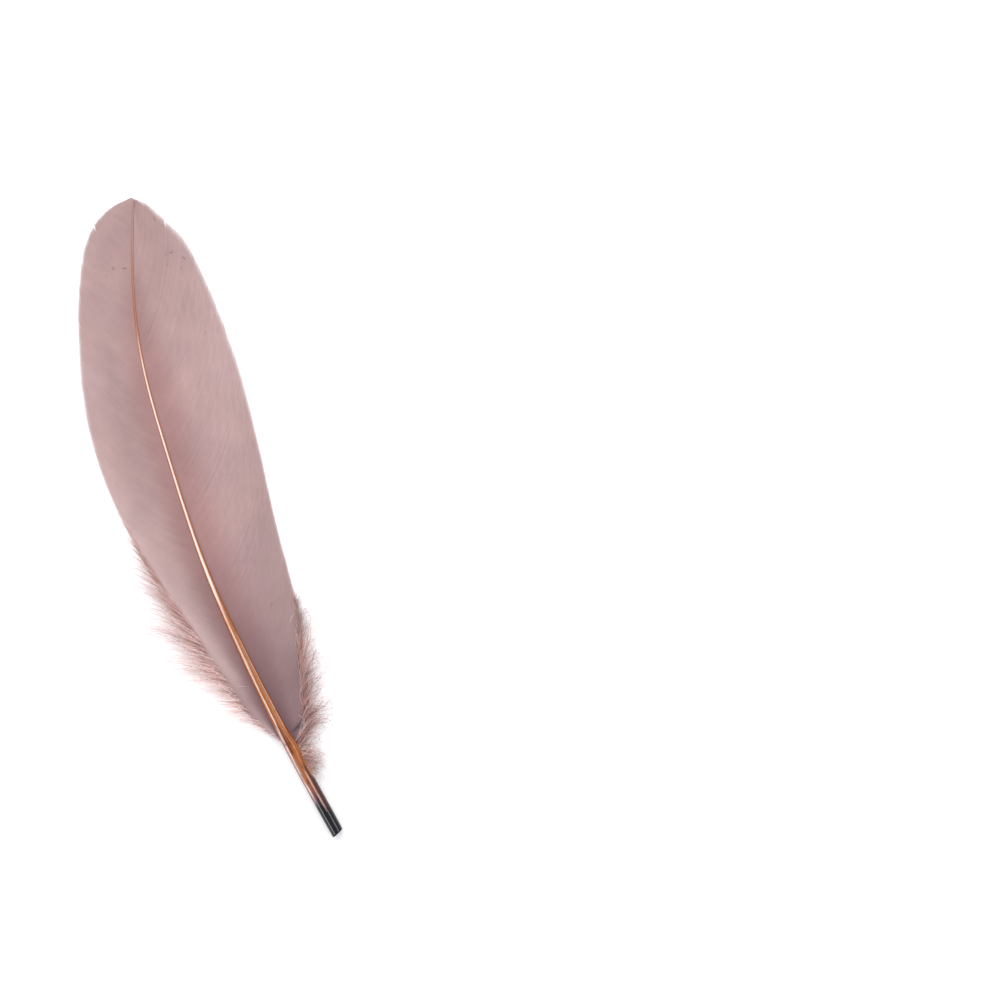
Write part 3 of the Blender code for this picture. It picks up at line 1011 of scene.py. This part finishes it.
    # Painted shade: the far wall inside the bore is darkened, as the hollow lies in shade.
    inside = add_node(tree, "ShaderNodeMapRange", None, {"Value": along, "From Min": 0.0, "From Max": -0.01})
    body = add_node(tree, "ShaderNodeMix", {"data_type": "RGBA"}, {0: inside, 6: body, 7: linear("#2A201E")})
    gloss = add_node(
        tree, "ShaderNodeMapRange", None,
        {"Value": grain, "From Min": 0.3, "From Max": 0.7, "To Min": 0.14, "To Max": 0.24},
    )
    bump = add_node(tree, "ShaderNodeBump", None, {"Strength": 0.08, "Distance": 0.03 * MM, "Height": grain})
    shader = add_node(
        tree,
        "ShaderNodeBsdfPrincipled",
        None,
        {
            "Base Color": body,
            "Roughness": gloss,
            "IOR": 1.54,
            "Specular IOR Level": 0.29,
            "Normal": bump,
            "Coat Weight": 0.1,
            "Coat Roughness": 0.06,
            "Subsurface Weight": 0.1,
            "Subsurface Scale": 0.8 * MM,
        },
    )
    add_node(tree, "ShaderNodeOutputMaterial", None, {"Surface": shader})
    return material


def web_material(web):
    """Dyed keratin barbs hooked into a web: matt, with a faint silky sheen along the barbs, painted shade
    along the shaft and painted light at the thin outer edge.
    """
    material, tree = new_material("dyed_feather_web")
    uv = add_node(tree, "ShaderNodeUVMap", {"uv_map": "UVMap"})
    out = add_node(tree, "ShaderNodeSeparateXYZ", None, {"Vector": uv}).outputs["X"]
    tone = add_node(tree, "ShaderNodeAttribute", {"attribute_name": "tone"}).outputs["Fac"]
    spot = add_node(tree, "ShaderNodeTexCoord").outputs["Object"]
    # Distance along, slanted because the wide web is a little darker than the narrow one.
    slant = add_node(
        tree, "ShaderNodeVectorMath", {"operation": "DOT_PRODUCT"}, {0: spot, 1: (-0.2, 1.0, 0.0)}
    ).outputs["Value"]
    # Barbs are about 28 mm long and the margin about 165 mm, so these are streaks
    # 9 mm by 0.8 mm, and clouds of dye some 7 mm and 16 mm across.
    fibres = add_node(tree, "ShaderNodeMapping", None, {"Vector": uv, "Scale": (28 / 9, 165 / 0.8, 1.0)})
    streaks = add_node(
        tree, "ShaderNodeTexNoise", None, {"Vector": fibres, "Scale": 1.0, "Detail": 4.0, "Roughness": 0.6}
    )
    clouds = add_node(
        tree, "ShaderNodeTexNoise", None,
        {"Vector": spot, "Scale": 1 / 0.007, "Detail": 3.0, "Roughness": 0.55},
    )
    drifts = add_node(tree, "ShaderNodeTexNoise", None, {"Vector": spot, "Scale": 1 / 0.016, "Detail": 1.0})
    part = add_node(
        tree, "ShaderNodeMapRange", None, {"Value": slant, "From Min": -62 * MM, "From Max": 85 * MM}
    )
    stops = ((0.0, web.base[:]), (0.42, web.colour[:]), (0.75, web.colour[:]), (1.0, web.tip[:]))
    colour = add_node(tree, "ShaderNodeValToRGB", {"stops": stops}, {"Fac": part})
    cool = add_node(
        tree, "ShaderNodeMapRange", {"interpolation_type": "SMOOTHSTEP"},
        {"Value": drifts, "From Min": 0.4, "From Max": 0.7, "To Max": 0.65},
    )
    colour = add_node(
        tree, "ShaderNodeMix", {"data_type": "RGBA", "blend_type": "MULTIPLY"},
        {0: cool, 6: colour, 7: linear("#F6F4FC")},
    )
    # Painted shade: the web is darkened next to the shaft, most near the quill.
    stops = (
        (0.0, web.shade_beside_quill[:]),
        (0.45, web.shade_beside_shaft[:]),
        (0.7, web.shade_beside_shaft[:]),
        (0.92, web.tip[:]),
    )
    beside = add_node(tree, "ShaderNodeValToRGB", {"stops": stops}, {"Fac": part})
    shaft_shade = add_node(
        tree, "ShaderNodeMapRange", {"interpolation_type": "SMOOTHSTEP"},
        {"Value": out, "From Min": 0.38, "From Max": 0.04, "To Max": 0.9},
    )
    colour = add_node(tree, "ShaderNodeMix", {"data_type": "RGBA"}, {0: shaft_shade, 6: colour, 7: beside})
    # Painted light: the outer web and its thin margin are paler, standing in for light through the thin
    # outer barbs.
    pale = add_node(tree, "ShaderNodeAttribute", {"attribute_name": "pale"}).outputs["Fac"]
    edge = add_node(
        tree, "ShaderNodeMapRange", {"interpolation_type": "SMOOTHSTEP"},
        {"Value": out, "From Min": 0.96, "From Max": 1.0, "To Max": 0.5},
    )
    margin = web.margin[:]
    for thin in (pale, edge):
        colour = add_node(tree, "ShaderNodeMix", {"data_type": "RGBA"}, {0: thin, 6: colour, 7: margin})
    light = 0.78
    for part, size in ((streaks, 0.2), (clouds, 0.26), (tone, 0.012)):
        light = add_node(tree, "ShaderNodeMath", {"operation": "MULTIPLY_ADD"}, {0: part, 1: size, 2: light})
    toned = add_node(tree, "ShaderNodeHueSaturation", None, {"Color": colour, "Value": light})
    # Barbules, 0.05 mm apart on a real barb, are drawn 0.2 mm apart so that they show.
    hooks = add_node(tree, "ShaderNodeMapping", None, {"Vector": uv, "Scale": (28 / 0.2, 165 / 0.5, 1.0)})
    barbules = add_node(tree, "ShaderNodeTexNoise", None, {"Vector": hooks, "Scale": 1.0, "Detail": 2.0})
    bump = add_node(
        tree, "ShaderNodeBump", None, {"Strength": 0.3, "Distance": 0.04 * MM, "Height": barbules}
    )
    shader = add_node(
        tree,
        "ShaderNodeBsdfPrincipled",
        None,
        {
            "Base Color": toned,
            "Normal": bump,
            "IOR": 1.54,
            "Roughness": 0.72,
            "Specular IOR Level": 0.35,
            "Sheen Weight": 0.12,
            "Sheen Roughness": 0.4,
        },
    )
    add_node(tree, "ShaderNodeOutputMaterial", None, {"Surface": shader})
    return material


def down_material(down):
    """Dyed down: hair-fine keratin that scatters light, paler where it thins out."""
    material, tree = new_material("dyed_feather_down")
    out = add_node(tree, "ShaderNodeAttribute", {"attribute_name": "out"}).outputs["Fac"]
    tone = add_node(tree, "ShaderNodeAttribute", {"attribute_name": "tone"}).outputs["Fac"]
    spot = add_node(tree, "ShaderNodeTexCoord").outputs["Object"]
    # Dye takes unevenly: patches about 3 mm across.
    patches = add_node(tree, "ShaderNodeTexNoise", None, {"Vector": spot, "Scale": 1 / 0.003, "Detail": 2.0})
    far = add_node(
        tree, "ShaderNodeMapRange", {"interpolation_type": "SMOOTHSTEP"},
        {"Value": out, "From Min": 0.1, "From Max": 0.9},
    )
    colour = add_node(
        tree, "ShaderNodeMix", {"data_type": "RGBA"}, {0: far, 6: down.root[:], 7: down.tips[:]}
    )
    light = 0.9
    for part, size in ((patches, 0.2), (tone, 0.16)):
        light = add_node(tree, "ShaderNodeMath", {"operation": "MULTIPLY_ADD"}, {0: part, 1: size, 2: light})
    # Light hairs have taken up less of the dye.
    dye = add_node(tree, "ShaderNodeMath", {"operation": "MULTIPLY_ADD"}, {0: tone, 1: -0.18, 2: 1.0})
    toned = add_node(
        tree, "ShaderNodeHueSaturation", None, {"Color": colour, "Value": light, "Saturation": dye}
    )
    shader = add_node(
        tree,
        "ShaderNodeBsdfPrincipled",
        None,
        {
            "Base Color": toned,
            "IOR": 1.54,
            "Roughness": 0.8,
            "Specular IOR Level": 0.25,
            "Sheen Weight": 0.2,
            "Sheen Roughness": 0.5,
        },
    )
    add_node(tree, "ShaderNodeOutputMaterial", None, {"Surface": shader})
    return material


def speckled_material(name, size, first, second, roughness, glow=0.0):
    """A matt material that varies between two colours in grains of `size` metres, and may glow."""
    material, tree = new_material(name)
    spot = add_node(tree, "ShaderNodeTexCoord").outputs["Object"]
    grains = add_node(tree, "ShaderNodeTexNoise", None, {"Vector": spot, "Scale": 1 / size, "Detail": 3.0})
    colour = add_node(tree, "ShaderNodeMix", {"data_type": "RGBA"}, {0: grains, 6: first, 7: second})
    shader = add_node(
        tree, "ShaderNodeBsdfPrincipled", None,
        {
            "Base Color": colour,
            "Roughness": roughness,
            "Specular IOR Level": 0.15,
            "Emission Color": first,
            "Emission Strength": glow,
        },
    )
    add_node(tree, "ShaderNodeOutputMaterial", None, {"Surface": shader})
    return material


# ---------------------------------------------------------------- operators


class FEATHER_OT_shaft(bpy.types.Operator):
    """Build the hollow quill and the shaft that carries on to the tip"""

    bl_idname = "feather.shaft"
    bl_label = "Quill and Shaft"

    def execute(self, context):
        settings = context.scene.feather_shaft
        mesh = shaft_mesh(settings.sides, settings.rings)
        new_piece("quill_and_shaft", mesh, horn_material(settings), ["quill_shaft"])
        return {"FINISHED"}


class FEATHER_OT_webs(bpy.types.Operator):
    """Build the two webs, barb by barb, and the dust on them"""

    bl_idname = "feather.webs"
    bl_label = "Webs"

    def execute(self, context):
        settings = context.scene.feather_web
        material = web_material(settings)
        for seed, (name, web) in enumerate((("narrow_web", NARROW), ("wide_web", WIDE))):
            mesh = web_mesh(web, settings, WEB_SEED + seed)
            new_piece(name, mesh, material, [web["node"]])
        # Dry dark dust caught between the barbs: matt, in grains of 0.2 mm.
        dust = speckled_material("dark_dust", 0.2 * MM, linear("#7E6062"), linear("#A08082"), 0.95)
        new_piece("dust_flecks", fleck_mesh(), dust, [])
        return {"FINISHED"}


class FEATHER_OT_down(bpy.types.Operator):
    """Build the loose down on both sides of the webs' lower half"""

    bl_idname = "feather.down"
    bl_label = "Down"

    def execute(self, context):
        settings = context.scene.feather_down
        material = down_material(settings)
        sides = (("narrow_side_hairs", NARROW_DOWN), ("wide_side_hairs", WIDE_DOWN))
        for seed, (name, down) in enumerate(sides):
            mesh = down_mesh(down, settings, DOWN_SEED + seed)
            new_piece(name, mesh, material, [down["node"]])
        new_piece("stray_hairs", stray_mesh(settings), material, [])
        return {"FINISHED"}


class FEATHER_OT_stage(bpy.types.Operator):
    """Build the card floor, the soft light and the camera that looks straight down"""

    bl_idname = "feather.stage"
    bl_label = "Stage"

    def execute(self, context):
        scene, stage = context.scene, context.scene.feather_stage
        bm = bmesh.new()
        bmesh.ops.create_grid(bm, x_segments=4, y_segments=4, size=stage.floor_size / 2)
        bmesh.ops.translate(bm, verts=bm.verts, vec=(0.0, 0.0, -0.02 * MM))
        mesh = mesh_from(bm, "card_floor")
        # White studio card, lit a little from below: matt, with a faint tooth of 2 mm.
        colour = tuple(stage.floor_colour)
        paler = tuple(min(c * 1.02, 1.0) for c in colour)
        mesh.materials.append(speckled_material("white_card", 2 * MM, colour, paler, 0.9, stage.glow))
        floor = bpy.data.objects.new("card_floor", mesh)
        scene.collection.objects.link(floor)

        # Left and ahead in the view are turned from the feather's own axes.
        left = Vector((-math.cos(stage.turn), -math.sin(stage.turn), 0.0))
        ahead = Vector((-math.sin(stage.turn), math.cos(stage.turn), 0.0))
        up = Vector((0.0, 0.0, 1.0))
        for name, strength, spread, towards in (
            ("key_light", stage.key, 60, left * 0.35 + ahead + up),
            ("left_strip", stage.strip, 18, left * 1.6 - ahead * 0.9 + up),
            ("right_strip", stage.strip * 0.7, 18, left * -0.7 + ahead * 0.3 + up),
        ):
            sun = bpy.data.lights.new(name, "SUN")
            sun.energy = strength
            sun.angle = math.radians(spread)
            lamp = bpy.data.objects.new(name, sun)
            lamp.rotation_mode = "QUATERNION"
            lamp.rotation_quaternion = towards.to_track_quat("Z", "Y")
            scene.collection.objects.link(lamp)
        world = bpy.data.worlds.new("soft_surround")
        world.use_nodes = True
        surround = world.node_tree.nodes["Background"]
        surround.inputs["Color"].default_value = (0.97, 0.98, 1.0, 1.0)
        surround.inputs["Strength"].default_value = stage.fill
        scene.world = world

        camera = bpy.data.cameras.new("camera")
        camera.sensor_width = 36.0
        camera.lens = camera.sensor_width * stage.camera_height / stage.view_width
        camera.clip_start = 0.01
        viewer = bpy.data.objects.new("camera", camera)
        # The camera stands to the right of the feather, so the feather lies at the left of the view.
        aim = placed(VIEW_AIM)
        viewer.location = (aim[0], aim[1], stage.camera_height)
        viewer.rotation_euler = (0.0, 0.0, stage.turn)
        scene.collection.objects.link(viewer)
        scene.camera = viewer
        scene.view_settings.view_transform = "Standard"
        return {"FINISHED"}


class FEATHER_PT_panel(bpy.types.Panel):
    """The feather's operators and sizes in the 3D view's sidebar"""

    bl_label = "Goose Feather"
    bl_idname = "FEATHER_PT_panel"
    bl_space_type = "VIEW_3D"
    bl_region_type = "UI"
    bl_category = "Feather"

    def draw(self, context):
        for operator, group in STEPS:
            box = self.layout.box()
            box.operator(operator.bl_idname)
            settings = getattr(context.scene, group)
            for field in settings.bl_rna.properties:
                if field.identifier not in ("rna_type", "name"):
                    box.prop(settings, field.identifier)


GROUPS = {
    "feather_shaft": ShaftSettings,
    "feather_web": WebSettings,
    "feather_down": DownSettings,
    "feather_stage": StageSettings,
}
STEPS = (
    (FEATHER_OT_shaft, "feather_shaft"),
    (FEATHER_OT_webs, "feather_web"),
    (FEATHER_OT_down, "feather_down"),
    (FEATHER_OT_stage, "feather_stage"),
)


def register():
    for group, kind in GROUPS.items():
        bpy.utils.register_class(kind)
        setattr(bpy.types.Scene, group, bpy.props.PointerProperty(type=kind))
    for operator, _ in STEPS:
        bpy.utils.register_class(operator)
    bpy.utils.register_class(FEATHER_PT_panel)


def unregister():
    bpy.utils.unregister_class(FEATHER_PT_panel)
    for operator, _ in reversed(STEPS):
        bpy.utils.unregister_class(operator)
    for group, kind in GROUPS.items():
        delattr(bpy.types.Scene, group)
        bpy.utils.unregister_class(kind)


def main():
    register()
    bpy.ops.feather.shaft()
    bpy.ops.feather.webs()
    bpy.ops.feather.down()
    bpy.ops.feather.stage()


if __name__ == "__main__":
    main()
